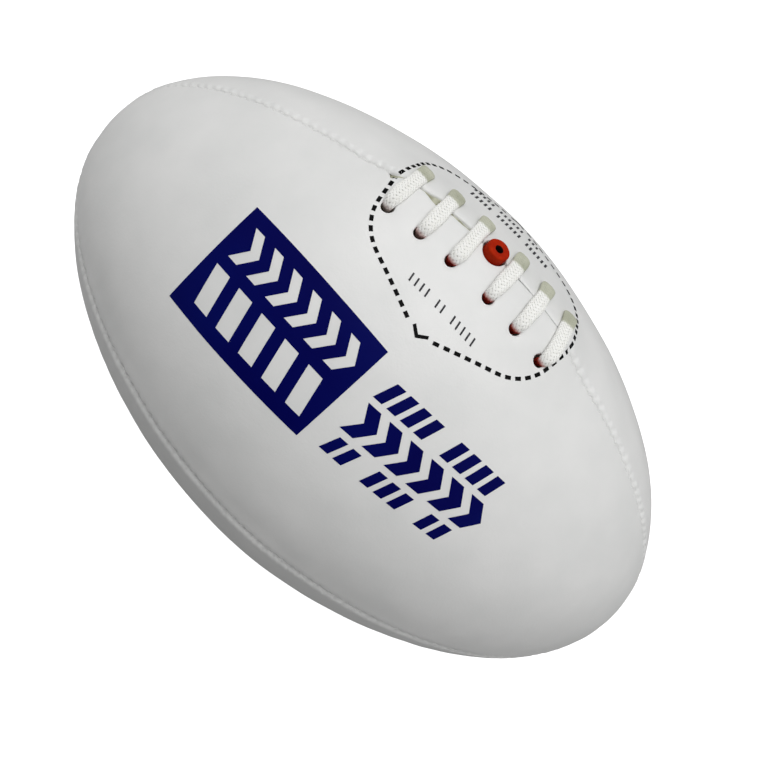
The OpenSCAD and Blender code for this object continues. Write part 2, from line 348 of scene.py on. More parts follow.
def fabric_material(name, dark, light, pitch_mm):
    """Woven cloth: two crossed sets of yarns."""
    m, nodes, links, shader, where = node_material(name, light, 0.85)
    shader.inputs["Sheen Weight"].default_value = 0.3
    heights = []
    for axis in ("X", "Y"):
        w = nodes.new("ShaderNodeTexWave")
        w.bands_direction = axis
        w.inputs["Scale"].default_value = 1000 / pitch_mm / 20
        w.inputs["Distortion"].default_value = 1.2
        w.inputs["Detail Scale"].default_value = 4
        links.new(where, w.inputs["Vector"])
        heights.append(w.outputs["Fac"])
    weave = nodes.new("ShaderNodeMath")
    weave.operation = "MAXIMUM"
    for i, h in enumerate(heights):
        links.new(h, weave.inputs[i])
    dirt = noise_node(nodes, links, where, 200, 4)
    mix = nodes.new("ShaderNodeMath")
    mix.operation = "MULTIPLY"
    links.new(weave.outputs[0], mix.inputs[0])
    links.new(dirt, mix.inputs[1])
    links.new(ramp(nodes, links, mix.outputs[0], ((0.1, dark), (0.6, light))), shader.inputs["Base Color"])
    links.new(bump(nodes, links, weave.outputs[0], 0.5, 0.0003), shader.inputs["Normal"])
    return m


def lace_material():
    """White braided polyester, with painted olive-grey shade on its far turns where they dip into the back
    holes, painted shade in its braid's grooves, and painted dark red shade where it goes down into its front
    holes.
    """
    m, nodes, links, shader, where = node_material("white_lace", (0.86, 0.85, 0.81), 0.62)
    shader.inputs["Specular IOR Level"].default_value = 0.12
    shader.inputs["Sheen Weight"].default_value = 0.04
    fibre = noise_node(nodes, links, where, 900, 5, 0.7)
    layer = {}
    for label in ("far_turn_shade", "hole_shade", "weave"):
        layer[label] = nodes.new("ShaderNodeAttribute")
        layer[label].attribute_name = label

    def mix(kind, factor, a, b):
        node = nodes.new("ShaderNodeMix")
        node.data_type = "RGBA"
        node.blend_type = kind
        for key, value in (("Factor", factor), ("A", a), ("B", b)):
            if isinstance(value, (int, float, tuple)):
                node.inputs[key].default_value = value
            else:
                links.new(value, node.inputs[key])
        return node.outputs["Result"]

    lace_tone = ramp(nodes, links, fibre, ((0.3, (0.86, 0.855, 0.81)), (0.65, (0.97, 0.97, 0.95))))
    # Painted shade for the far turns, which dip away from the light into the back holes: a mottled olive grey
    shade_mottle = noise_node(nodes, links, where, 170, 3, 0.6)
    far_turn_shade_colour = ramp(nodes, links, shade_mottle, ((0.3, (0.42, 0.43, 0.33)), (0.7, (0.58, 0.59, 0.48))))
    # Painted shade in the braid's grooves: the colour is darkened where the braid is low
    depth = layer["weave"].outputs["Fac"]
    groove_shade = ramp(nodes, links, depth, ((0.4, (0.40, 0.40, 0.38)), (0.85, (1, 1, 1))))
    lace_tone = mix("MULTIPLY", 1.0, lace_tone, groove_shade)
    far_turn_shade_colour = mix("MULTIPLY", 0.45, far_turn_shade_colour, groove_shade)
    colour = mix("MIX", layer["far_turn_shade"].outputs["Fac"], lace_tone, far_turn_shade_colour)
    # Painted dark red shade, standing in for the shadowed front holes and the red bladder's glow in them
    colour = mix("MIX", layer["hole_shade"].outputs["Fac"], colour, (0.50, 0.022, 0.004, 1))
    links.new(colour, shader.inputs["Base Color"])
    links.new(bump(nodes, links, fibre, 0.35, 0.0003), shader.inputs["Normal"])
    return m


def rubber_material(name, deep, light, roughness):
    """Moulded rubber with bloom and fine pitting."""
    m, nodes, links, shader, where = node_material(name, light, roughness)
    shader.inputs["Specular IOR Level"].default_value = 0.08
    cloud = noise_node(nodes, links, where, 260, 5, 0.6)
    links.new(ramp(nodes, links, cloud, ((0.3, deep), (0.7, light))), shader.inputs["Base Color"])
    links.new(map_value(nodes, links, cloud, roughness - 0.1, roughness + 0.15), shader.inputs["Roughness"])
    pits = noise_node(nodes, links, where, 2200, 3)
    links.new(bump(nodes, links, pits, 0.2, 0.0002), shader.inputs["Normal"])
    return m


leather = leather_material()
navy = ink_material("navy_ink", (0.0004, 0.0006, 0.075), (0.0008, 0.003, 0.10))
black = ink_material("black_ink", (0.003, 0.003, 0.003), (0.008, 0.008, 0.009))
grey = ink_material("grey_ink", (0.045, 0.045, 0.05), (0.075, 0.075, 0.08))
lace_cord = lace_material()
lining_cloth = fabric_material("lining_cloth", (0.30, 0.28, 0.20), (0.62, 0.60, 0.48), 0.8)
strip_cloth = fabric_material("strip_cloth", (0.34, 0.32, 0.24), (0.66, 0.64, 0.54), 0.6)
tongue_cloth = fabric_material("tongue_cloth", (0.30, 0.30, 0.20), (0.56, 0.56, 0.44), 0.7)
thread_wax = fabric_material("waxed_thread", (0.45, 0.44, 0.38), (0.75, 0.74, 0.68), 0.3)
bladder_rubber = rubber_material("bladder_rubber", (0.16, 0.012, 0.004), (0.30, 0.035, 0.008), 0.55)
valve_rubber = rubber_material("valve_rubber", (0.30, 0.008, 0.0004), (0.46, 0.022, 0.0006), 0.6)
# Near black: painted shade down the stem's needle hole
bore_shade = rubber_material("bore_shade", (0.008, 0.002, 0.002), (0.020, 0.004, 0.003), 0.8)
core_rubber = rubber_material("core_rubber", (0.010, 0.003, 0.003), (0.022, 0.005, 0.004), 0.7)


# ---------------------------------------------------------------- panels
ROW = 0.5
FINE_COLS = 34
HOLE_CELLS, HOLE_REACH = 4, 8
HOLE_SPREAD = (0.0, 0.1, 0.27, 0.56, 1.0)
STITCH_ROWS = 5


def grid_rows():
    """x of the panels' rows: even across the lacing, then a few to each stitch."""
    first, last = -28, 171
    lacing = BAR_X[0] + ROW * np.arange(first, last + 1)
    step = STITCH / STITCH_ROWS
    left = np.arange(along(lacing[0]) - step, SEAM_S[0], -step)[::-1]
    right = np.arange(along(lacing[-1]) + step, SEAM_S[-1], step)
    outside = [np.interp(s, SEAM_S, SEAM_X) for s in (left, right)]
    return np.concatenate([outside[0], lacing, outside[1]]), len(left) - first


def grid_cols(length, fine_first):
    """Distances across a panel: fine beside its seams, coarser in its middle."""
    near = [ROW * k for k in range(fine_first + 1)]
    far = [length - 0.45 * k for k in range(9)]
    span = far[-1] - near[-1]
    steps, width = [], 0.8
    while sum(steps) * 2 < span:
        steps.append(width)
        width = min(3.4, width * 1.25)
    all_steps = np.array(steps + steps[::-1])
    return np.array(near + list(near[-1] + np.cumsum(all_steps * span / all_steps.sum()))[:-1] + far[::-1])


def ring_turn(i, j):
    """The angle that cell corner (i, j) of a square ring takes on the round hole."""
    if abs(i) >= abs(j):
        return math.pi / 4 * j / i + (0 if i > 0 else math.pi)
    return math.pi / 2 - math.pi / 4 * i / j + (0 if j > 0 else math.pi)


def panel(q, name):
    """One panel of the casing, with its punched holes and its half of the valve's notch."""
    xs, hole_row = grid_rows()
    span = SEAMS[q + 1] - SEAMS[q]
    laced = q in (0, 3)
    reference = float(top_radius(np.array([0.0]))[0])
    cols = grid_cols(math.radians(span) * reference, FINE_COLS if laced else 8)
    x, arc = np.meshgrid(xs, cols, indexing="ij")
    keep = np.ones((len(xs) - 1, len(cols) - 1), bool)
    if laced:
        side = 1 if q == 0 else -1
        arc = arc + lip(x, side) * np.clip(1 - arc / 7.5, 0, 1)
        hole_arc = FRONT_HOLES if q == 0 else BACK_HOLES
        j0 = round(hole_arc / ROW)
        reach = range(-HOLE_REACH, HOLE_REACH + 1)
        for bx in BAR_X:
            i0 = hole_row + round((bx - BAR_X[0]) / ROW)
            for i, j in ((i, j) for i in reach for j in reach if max(abs(i), abs(j)) >= HOLE_CELLS):
                share = HOLE_SPREAD[max(abs(i), abs(j)) - HOLE_CELLS]
                turn = ring_turn(i, j)
                x[i0 + i, j0 + j] = bx + HOLE_R * math.cos(turn) * (1 - share) + i * ROW * share
                arc[i0 + i, j0 + j] = hole_arc + HOLE_R * math.sin(turn) * (1 - share) + j * ROW * share
            keep[i0 - HOLE_CELLS : i0 + HOLE_CELLS, j0 - HOLE_CELLS : j0 + HOLE_CELLS] = False
    # Near the lacing the columns follow true arcs; elsewhere they keep their angles
    plain = np.degrees(arc / reference)
    if laced:
        local = np.degrees(arc / np.maximum(top_radius(x), 1))
        near = smooth((75 - np.abs(x)) / 22) * smooth((40 - arc) / 22)
        angle = plain * (1 - near) + local * near
    else:
        gap = np.degrees(0.06 / np.maximum(radius(x, np.full_like(x, SEAMS[q])), 1))
        angle = np.clip(plain, gap, span - gap)
    angle = np.minimum(angle, span - np.degrees(0.06 / np.maximum(top_radius(x), 1)))
    t = SEAMS[q] + angle if q != 3 else SEAMS[4] - angle
    if q == 3:
        x, t, keep = x[:, ::-1], t[:, ::-1], keep[:, ::-1]
    outer = place(x, t, relief(q, x, t)).reshape(-1, 3)
    inner = place(x, t, np.full_like(x, -SKIN)).reshape(-1, 3)
    faces = grid_faces(*x.shape)[keep].reshape(-1, 4)
    points, shell = closed_shell(outer, inner, faces)
    piece = make(name, points, shell, [leather], smooth_angle=48)
    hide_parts(name.replace("skin_", "panel_"))


for number, place_name in enumerate(("front_top", "front_bottom", "back_bottom", "back_top")):
    panel(number, "skin_" + place_name)


# ---------------------------------------------------------------- printed marks
PRINT_LIFT, PRINT_BASE = 0.09, 0.02


def inside(points, outlines):
    """Even-odd test of points against closed outlines."""
    hit = np.zeros(len(points), bool)
    for line in outlines:
        a, b = line, np.roll(line, -1, axis=0)
        for (ax, ay), (bx, by) in zip(a, b):
            crosses = (ay > points[:, 1]) != (by > points[:, 1])
            with np.errstate(divide="ignore", invalid="ignore"):
                hit ^= crosses & (points[:, 0] < (bx - ax) * (points[:, 1] - ay) / (by - ay) + ax)
    return hit


def subdivided(line, step):
    out = []
    for a, b in zip(line, np.roll(line, -1, axis=0)):
        n = max(1, math.ceil(np.linalg.norm(b - a) / step))
        out += [a + (b - a) * k / n for k in range(n)]
    return np.array(out)


def ink_print(name, q, outlines, chart, ink, step=1.5):
    """A thin closed skin of ink on panel q, inside outlines drawn in mm and laid by chart."""
    outlines = [subdivided(np.asarray(o, float), step) for o in outlines]
    low = np.min([o.min(0) for o in outlines], axis=0)
    high = np.max([o.max(0) for o in outlines], axis=0)
    gx, gy = np.meshgrid(np.arange(low[0], high[0], step), np.arange(low[1], high[1], step))
    grid = np.stack([gx.ravel(), gy.ravel()], 1) + 0.37 * step
    rim = np.concatenate(outlines)
    near = np.array([np.min(np.abs(rim - g).sum(1)) for g in grid])
    grid = grid[inside(grid, outlines) & (near > 0.6 * step)]
    edges, base = [], 0
    for o in outlines:
        edges += [(base + i, base + (i + 1) % len(o)) for i in range(len(o))]
        base += len(o)
    flat = [Vector(p) for p in np.concatenate([rim, grid])]
    points, _, faces, _, _, _ = geometry.delaunay_2d_cdt(flat, edges, [], 1, 1e-5)
    points = np.array([tuple(p) for p in points])
    faces = np.array([f for f in faces if len(f) == 3])
    faces = faces[inside(points[faces].mean(1), outlines)]
    x, t = chart(points[:, 0], points[:, 1])
    under = relief(q, x, t)
    top, bottom = place(x, t, under + PRINT_LIFT), place(x, t, under + PRINT_BASE)
    a, b, c = (top[faces[:, k]] for k in range(3))
    centre = top[faces].mean(1)
    facing = np.einsum("ij,ij->i", np.cross(b - a, c - a), centre) > 0
    faces[~facing] = faces[~facing][:, ::-1]
    shell_points, shell = closed_shell(top, bottom, faces)
    make(name, shell_points, shell, [ink], smooth_angle=40)


def corner_chart(corners, width, height):
    """A chart that lays a width by height rectangle between four (x, t) corners."""
    c = np.array(corners, float)

    def chart(a, b):
        u, v = a / width, b / height
        w = [(1 - u) * (1 - v), u * (1 - v), u * v, (1 - u) * v]
        at = sum(wk[:, None] * ck for wk, ck in zip(w, c))
        return at[:, 0], at[:, 1]

    return chart


def arc_chart(side):
    """A chart of x and the arc from the laced seam, on the front or the back panel."""

    def chart(a, b):
        angle = np.degrees(b / mean_radius)
        return a, angle if side > 0 else 360 - angle

    return chart


def slanted(x0, y0, w, h, lean):
    return [(x0, y0), (x0 + w, y0), (x0 + w + lean, y0 + h), (x0 + lean, y0 + h)]


def chevron(x0, y0, w, h, arm):
    mid = y0 + h / 2
    return [(x0, y0), (x0 + arm, y0), (x0 + w, mid), (x0 + arm, y0 + h), (x0, y0 + h), (x0 + w - arm, mid)]


BLOCK_W, BLOCK_H = 60.0, 40.0
block = [[(0, 0), (BLOCK_W, 0), (BLOCK_W, BLOCK_H), (0, BLOCK_H)]]
block += [chevron(4.8 + 8.7 * k, 4.6, 8.0, 12.2, 4.0) for k in range(6)]
block += [slanted(4.0 + 10.6 * k, 20.8, 6.2, 14.0, 3.6) for k in range(5)]
block_chart = corner_chart(((-65.7, 28.3), (-5.2, 31.3), (-6.4, 57.2), (-66.2, 59.1)), BLOCK_W, BLOCK_H)
ink_print("print_block", 0, block, block_chart, navy)

ROWS_W, ROWS_H = 51.0, 31.0
bars = [slanted(2.0 + 5.2 * k, 0, 3.4, 7.8, -2.0) for k in (0, 1, 2, 3, 5, 6, 7, 8)]
bars += [chevron(0.6 + 8.2 * k, 10, 8.6, 11.5, 4.9) for k in range(6)]
bars += [slanted(3.0 + 4.9 * k, 23.8, 3.1, 6.7, -1.8) for k in (0, 1, 3, 4, 5, 7, 8)]
rows_chart = corner_chart(((1.8, 34.5), (55.0, 32.3), (57.0, 53.6), (-0.6, 55.8)), ROWS_W, ROWS_H)
ink_print("print_bars", 0, bars, rows_chart, navy)

OUTLINE_HALF = 40.0
DASH, DASH_W, DASH_PITCH = 2.1, 1.3, 3.7


def outline_route(corner, fillet, tip):
    """Half of the dashed outline from the seam, round a corner, to the tip: x from the middle and arc."""
    start, corner, end = np.array([OUTLINE_HALF, 0.0]), np.array(corner), np.array([0.0, tip])
    near = (start - corner) / np.linalg.norm(start - corner)
    far = (end - corner) / np.linalg.norm(end - corner)
    half_turn = math.acos(near @ far) / 2
    middle = (near + far) / np.linalg.norm(near + far)
    centre = corner + middle * fillet / math.sin(half_turn)
    sweep = math.pi / 2 - half_turn
    angles = math.atan2(-middle[1], -middle[0]) + np.linspace(-sweep, sweep, 25)
    bend = centre + fillet * np.stack([np.cos(angles), np.sin(angles)], 1)
    return np.concatenate([[start], bend, [end]])


def dashes(route, lead, width):
    """Short dashes along a route, the last one running solid to its end."""
    s = np.concatenate([[0], np.cumsum(np.linalg.norm(np.diff(route, axis=0), axis=1))])
    starts = list(np.arange(lead, s[-1] - 5.5, DASH_PITCH))
    marks = []
    for a, b in [(k, k + DASH) for k in starts] + [(s[-1] - 3.8, s[-1] + width / 2)]:
        ends = [np.array([np.interp(v, s, route[:, i]) for i in (0, 1)]) for v in (a, min(b, s[-1]))]
        run = (ends[1] - ends[0]) / np.linalg.norm(ends[1] - ends[0])
        across = np.array([-run[1], run[0]]) * width / 2
        marks.append([ends[0] - across, ends[1] - across, ends[1] + across, ends[0] + across])
    return marks


for side, q, label, corner, tip_arc in (
    (1, 0, "front", (36.4, 23.2), 37.9), (-1, 3, "back", (36.6, 27.0), 41.5),
):
    route = outline_route(corner, 19.7, tip_arc)
    marks = []
    for mirror in (-1, 1):
        half = dashes(route, 0.9, DASH_W)
        marks += [[(LACING_X + mirror * p[0], p[1]) for p in mark] for mark in half[:-1]]
    tip = [(-3.3, -1.8), (0, 0.65), (3.3, -1.8), (2.8, -2.8), (0, -0.75), (-2.8, -2.8)]
    marks.append([(LACING_X + 0.4 + a, tip_arc + b) for a, b in tip])
    ink_print("print_outline_" + label, q, marks, arc_chart(side), black, step=1.0)

# Rows of small ticks, on the front and in two rows at the back
ticks = [slanted(-17.0 + 2.3 * k, 23.9 + 0.08 * k, 0.6, 3.0, 0.5)
         for k in (0, 1, 2, 3, 5, 6, 8, 9, 10, 11, 12)]
ink_print("print_ticks_front", 0, ticks, arc_chart(1), grey, step=1.0)
ticks = [slanted(-22.5 + 2.0 * k, arc, 0.9, 3.2, 0.4) for arc, count in ((23.6, 20), (30.6, 16))
         for k in range(count) if k % 7 != 5]
ink_print("print_ticks_back", 3, ticks, arc_chart(-1), grey, step=1.0)


# ---------------------------------------------------------------- lace
LACE_W, LACE_T = 5.1, 1.75
LACE_STEP, LACE_SIDES = 0.27, 68
YARNS, YARN_PITCH, YARN_H = 12, 1.35, 0.30
RUN_D = 6.9

# Each bar's slant: how far it shifts along the ball at its front hole and at its back hole
SLANT = ((-0.5, 0.3), (0.2, 0.0), (0.3, 0.1), (-0.2, 0.0), (0.1, -0.1), (1.3, -0.7))


def bar_route(x, slant):
    """One bar: up out of its front hole, over the slit, and down its back hole."""
    f, b = FRONT_HOLES, -BACK_HOLES
    near, far = slant
    return [
        (x, f - 3.4, -6.4, 3.6, 2.0), (x + near * 0.5, f - 1.9, -4.6, 3.2, 1.9),
        (x + near * 0.6, f - 1.0, -2.2, 3.6, 1.9), (x + near * 0.8, f - 0.6, -0.5, 4.0, 2.2),
        (x + near, f - 1.7, 0.85, 4.7, 2.0), (x + near, f - 4.2, 1.3, 5.0, 1.8),
        (x + near / 2, f - 8.5, 1.2, LACE_W, LACE_T), (x, 0.5, 1.2, LACE_W, LACE_T),
        (x + far / 2, b + 8.6, 1.2, LACE_W + 0.2, LACE_T), (x + far, b + 4.6, 1.3, LACE_W + 0.8, 1.8),
        (x + far, b + 1.9, 1.15, 5.7, 2.0), (x + far * 0.8, b + 0.6, 0.0, 4.6, 2.2),
        (x + far * 0.6, b + 0.3, -1.9, 3.5, 2.2), (x, b + 0.8, -4.4, 3.4, 2.1), (x, b + 2.6, -6.3, 3.8, 2.0)]


def lace_points():
    """The lace's route as rows of x, arc, height, width and thickness."""
    rows = [(BAR_X[0] - 9, 5, -RUN_D, 5.0, 1.8)]
    for i, x in enumerate(BAR_X):
        rows += bar_route(x, SLANT[i])
        if i == 2:
            rows += [(x + 4.5, -9.5, -RUN_D, 5.5, 1.8), (x + 14.0, -7.0, -RUN_D, 5.5, 1.8),
                     (x + 17.5, 3.5, -RUN_D, 5.5, 1.8)]
        elif i < 5:
            rows += [(x + 4.5, -4.5, -RUN_D, 5.5, 1.8), (x + 9.0, 4.5, -RUN_D, 5.5, 1.8)]
    rows.append((BAR_X[5] + 9, -5, -RUN_D, 5.0, 1.8))
    return np.array(rows)


def curve_through(rows, per_span):
    """Catmull-Rom points through rows of any width."""
    p = np.concatenate([[2 * rows[0] - rows[1]], rows, [2 * rows[-1] - rows[-2]]])
    v = np.linspace(0, 1, per_span, endpoint=False)[:, None]
    out = []
    for a, b, c, d in zip(p[:-3], p[1:-2], p[2:-1], p[3:]):
        square, cube = 2 * a - 5 * b + 4 * c - d, 3 * b - a - 3 * c + d
        out.append(0.5 * (2 * b + (c - a) * v + square * v**2 + cube * v**3))
    return np.concatenate(out + [rows[-1:]])


def even_steps(path, extra, step):
    """path and its extra columns, sampled again at even steps."""
    s = np.concatenate([[0], np.cumsum(np.linalg.norm(np.diff(path, axis=0), axis=1))])
    at = np.linspace(0, s[-1], int(s[-1] / step) + 1)
    return at, *[np.stack([np.interp(at, s, c) for c in block.T], 1) for block in (path, extra)]


def braid(turn, s):
    """Height of a braid over turn (0 to 1) round and s along it: every yarn goes over two, under two."""
    u, v = YARNS * turn + s / YARN_PITCH, YARNS * turn - s / YARN_PITCH
    iu, iv = np.floor(u), np.floor(v)
    over = np.sin(np.pi / 2 * (iu + v))
    under = -np.sin(np.pi / 2 * (iv + u))
    high = [np.sqrt(np.maximum(np.sin(np.pi * (a - i)), 0)) * 0.8 + 0.45 * o
            for a, i, o in ((u, iu, over), (v, iv, under))]
    return np.maximum(*high)


def lace():
    rows = curve_through(lace_points(), 14)
    t = arc_to_t(rows[:, 0], rows[:, 1])
    path = place(rows[:, 0], np.where(t < 0, t + 360, t), rows[:, 2])
    s, path, extra = even_steps(path, rows[:, 1:], LACE_STEP)
    run = np.gradient(path, axis=0)
    run /= np.linalg.norm(run, axis=1)[:, None]
    side = np.array([1.0, 0, 0]) - run[:, :1] * run
    side /= np.linalg.norm(side, axis=1)[:, None]
    up = np.cross(side, run)
    a = 2 * np.pi * np.arange(LACE_SIDES) / LACE_SIDES
    # A flat cord: a rounded, slightly squared section, with the braid raised on it
    c, d = np.cos(a), np.sin(a)
    c2, d2 = np.sign(c) * np.abs(c) ** 0.8, np.sign(d) * np.abs(d) ** 0.8
    turn, along_s = np.meshgrid(a / (2 * np.pi), s)
    arc, height = extra[:, 0], extra[:, 1]
    along_ball = path[:, 0]
    # Where shade is painted: the far turns over the back holes, from a ragged start; the braid is flattened
    # there too
    start = 3.2 - 1.2 * smooth(along_ball / 8) + 0.5 * np.sin(2.1 * along_ball)
    far_turn_shade = smooth((-arc - start) / 1.6) * smooth(height + 1.5)
    # Painted dark red shade where the lace goes down into its front holes, weaker on the first two bars
    hole_shade = smooth((0.25 - height) / 1.3) * smooth(arc / 3) * (0.25 + 0.75 * smooth((along_ball + 30) / 14))
    weave = braid(turn, along_s)
    grow = YARN_H * (1 - 0.6 * far_turn_shade)[:, None] * (weave - 0.8)
    w, k = extra[:, 2:3] / 2, extra[:, 3:4] / 2
    slack = 0.12 * np.sin(s / 3.1)[:, None] + 0.08 * np.sin(s / 1.7 + 1)[:, None]
    across, high = (w + slack) * c2 + grow * c, k * d2 + grow * d
    points = path[:, None] + across[..., None] * side[:, None] + high[..., None] * up[:, None]
    n = len(s)
    k0 = np.arange(n * LACE_SIDES).reshape(n, LACE_SIDES)
    k1 = np.roll(k0, -1, axis=1)
    faces = np.stack([k0[:-1], k0[1:], k1[1:], k1[:-1]], -1).reshape(-1, 4).tolist()
    faces += [k0[0].tolist(), k0[-1, ::-1].tolist()]
    piece = make("braided_lace", points.reshape(-1, 3), faces, [lace_cord])
    for label, values in (("far_turn_shade", far_turn_shade[:, None]), ("hole_shade", hole_shade[:, None]), ("weave", weave)):
        layer = piece.data.attributes.new(label, "FLOAT", "POINT")
        layer.data.foreach_set("value", np.broadcast_to(values, weave.shape).ravel().astype(np.float32))
    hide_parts("lace")


lace()


# ---------------------------------------------------------------- threads, tongue and valve
THREAD_R, THREAD_D = 0.42, 2.55


def tube(path, radius_at, sides):
    """A closed tube along a path, whose radius may change round and along it."""
    run = np.gradient(path, axis=0)
    run /= np.linalg.norm(run, axis=1)[:, None]
    out = path * [0, 1, 1]
    out /= np.maximum(np.linalg.norm(out, axis=1), 1e-6)[:, None]
    side = np.cross(out, run)
    side /= np.linalg.norm(side, axis=1)[:, None]
    up = np.cross(run, side)
    a = 2 * np.pi * np.arange(sides) / sides
    k = np.arange(len(path))
    r = radius_at(a[None, :], k[:, None])
    across, high = (r * np.cos(a))[..., None], (r * np.sin(a))[..., None]
    points = path[:, None] + across * side[:, None] + high * up[:, None]
    k0 = np.arange(len(path) * sides).reshape(len(path), sides)
    k1 = np.roll(k0, -1, axis=1)
    faces = np.stack([k0[:-1], k1[:-1], k1[1:], k0[1:]], -1).reshape(-1, 4).tolist()
    faces += [k0[0, ::-1].tolist(), k0[-1].tolist()]
    return points.reshape(-1, 3), faces


def seam_thread(name, seam, spans):
    """A two-ply thread that crosses the seam at every stitch."""
    points, faces = [], []
    for first, last in spans:
        s = np.arange(along(first), along(last), 0.35)
        x = np.interp(s, SEAM_S, SEAM_X)
        phase = np.pi * s / STITCH
        lateral = 0.3 * np.sin(phase)
        depth = THREAD_D + 0.2 * np.cos(2 * phase)
        r = radius(x, np.full_like(x, seam))
        path = place(x, seam + np.degrees(lateral / r), -depth)
        more, rings = tube(path, lambda a, k: THREAD_R * (0.86 + 0.14 * np.abs(np.cos(a - 0.45 * k))), 10)
        faces += [[i + len(points) for i in f] for f in rings]
        points = np.concatenate([points, more]) if len(points) else more
    piece = make(name, points, faces, [thread_wax])
    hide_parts(name.replace("stitching_", "seam_thread_"))


SEAM_END = 137.0
seam_thread("stitching_top", 0.0, ((-SEAM_END, -50.0), (46.0, SEAM_END)))
for label, seam in (("front", SEAMS[1]), ("bottom", SEAMS[2]), ("back", SEAMS[3])):
    seam_thread("stitching_" + label, seam, ((-SEAM_END, SEAM_END),))


def slit_hem():
    """The tongue's folded hem, which shows in the slit where the slit gapes."""
    x = np.arange(-45.5, -8.5, 0.3)
    points = []
    ends = smooth((x - x[0]) / 2) * smooth((x[-1] - x) / 2)
    half = np.maximum(slit_half_width(x) * in_lacing(x), 0.2) * ends + 0.12
    half += 1.2 * hill((x - EYELET_X) / 2.4)
    top = -0.65 + 0.25 * hill((x - GAPE_X + 0.2) / 7) - 0.8 * hill((x - EYELET_X) / 3)
    top += 0.12 * np.sin(x * 1.3) - 1.2 * (1 - ends)
    section = [(-1.0, -2.3), (-1.15, -1.2), (-1.1, -0.45), (-0.7, -0.1), (0.0, 0.0),
               (0.7, -0.12), (1.1, -0.5), (1.15, -1.2), (1.0, -2.3)]
    for across, down in section:
        arc = across * half
        t = np.degrees((arc - SLIT_Y * in_lacing(x)) / top_radius(x))
        points.append(place(x, np.where(t < 0, t + 360, t), top + down))
    points = np.stack(points, axis=1)
    n, m = points.shape[:2]
    k = np.arange(n * m).reshape(n, m)
    turned = np.roll(k, -1, axis=1)
    faces = np.stack([k[:-1], k[1:], turned[1:], turned[:-1]], -1).reshape(-1, 4).tolist()
    faces += [k[0].tolist(), k[-1, ::-1].tolist()]
    make("slit_hem", points.reshape(-1, 3), faces, [tongue_cloth], smooth_angle=60)


slit_hem()


def valve():
    """The rubber stem: flange, neck with a rounded top, countersunk needle hole and core pocket."""
    low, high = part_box("valve_stem")
    core_low, core_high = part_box("valve_core")
    bottom, top = low.z / MM, high.z / MM
    flange_r, neck_r, hole_r = (high.x - low.x) / 2 / MM, 4.1, 1.35
    pocket_r = (core_high.x - core_low.x) / 2 / MM + 0.02
    core_top, core_bottom = core_high.z / MM, core_low.z / MM
    ease = 0.9
    turns = [math.radians(90 * k / 8) for k in range(9)]
    profile = [(hole_r, bottom), (flange_r - 0.4, bottom), (flange_r, bottom + 0.4), (flange_r, bottom + 1.1),
               (flange_r - 0.5, bottom + 1.6), (neck_r + 0.8, bottom + 1.75), (neck_r, bottom + 2.6)]
    profile += [(neck_r, bottom + 2.6 + (top - ease - bottom - 2.6) * k / 6) for k in range(1, 6)]
    profile += [(neck_r - ease + ease * math.cos(a), top - ease + ease * math.sin(a)) for a in turns]
    profile += [(neck_r - 1.4, top - 0.06), (hole_r + 0.75, top - 0.16)]
    rim = len(profile)
    profile += [(hole_r + 0.4 - 0.4 * math.sin(a), top - 0.7 + 0.4 * math.cos(a)) for a in turns]
    profile += [(hole_r, core_top), (pocket_r, core_top), (pocket_r, core_bottom), (hole_r, core_bottom)]
    sides = 72
    points, n = [], len(profile)
    for k in range(sides):
        a = 2 * math.pi * k / sides
        for r, z in profile:
            wobble = 0.05 * math.sin(2 * a + 0.6) + 0.03 * math.sin(5 * a)
            reach = r + (wobble if r > 2.5 and z > bottom + 2 else 0)
            points.append((LACING_X + reach * math.cos(a), SLIT_Y + reach * math.sin(a), z))
    faces = [[k * n + i, ((k + 1) % sides) * n + i, ((k + 1) % sides) * n + (i + 1) % n, k * n + (i + 1) % n]
             for k in range(sides) for i in range(n)]
    rubbers = [valve_rubber, bore_shade]
    piece = make("rubber_valve", points, faces, rubbers, body="valve", smooth_angle=50)
    # Faces down the needle hole and round the core's pocket get the painted shade
    in_bore = [int(i > rim + 2) for k in range(sides) for i in range(n)]
    piece.data.polygons.foreach_set("material_index", in_bore)
    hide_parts("valve_stem")


valve()

# The CAD nodes that stay as they are, under the visible pieces
for node, material in (
    ("lining_front_top", lining_cloth), ("lining_front_bottom", lining_cloth),
    ("lining_back_bottom", lining_cloth), ("lining_back_top", lining_cloth),
    ("lace_strip_front", strip_cloth), ("lace_strip_back", strip_cloth), ("tongue", tongue_cloth),
    ("bladder", bladder_rubber), ("valve_patch", bladder_rubber), ("valve_core", core_rubber),
):
    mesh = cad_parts[node].data
    mesh.materials.clear()
    mesh.materials.append(material)


